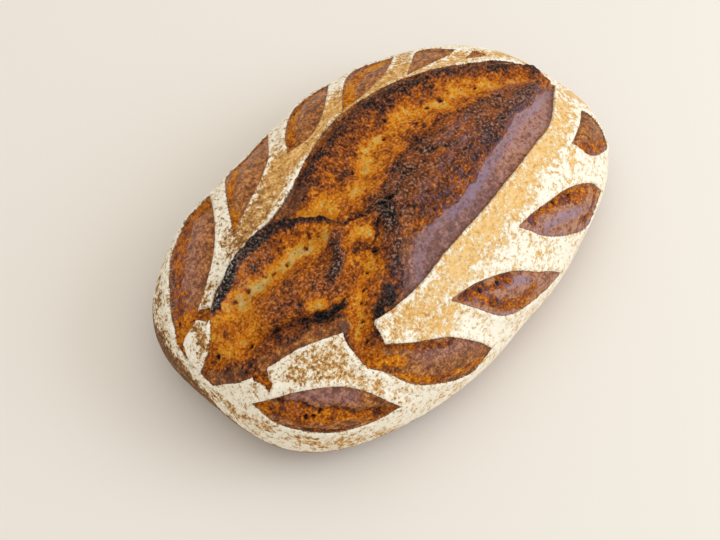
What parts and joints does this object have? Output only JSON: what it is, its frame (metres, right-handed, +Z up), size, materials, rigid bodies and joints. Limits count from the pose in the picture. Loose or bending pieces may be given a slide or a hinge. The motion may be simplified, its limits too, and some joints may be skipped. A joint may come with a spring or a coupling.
{
  "type": "sourdough loaf",
  "caption": "Oval sourdough loaf with a floured crust, leaf-shaped cuts and a torn opening along its top, on a flat underside.",
  "frame": {"origin": "middle of the footprint, on the surface the loaf rests on", "axes": "+X along the loaf, +Y across it, +Z up from the underside to the crown"},
  "size_m": [0.3004, 0.197, 0.1004],
  "materials": {
    "crust": null
  },
  "bodies": {
    "root": {"loaf": "crust"}
  },
  "joints": []
}
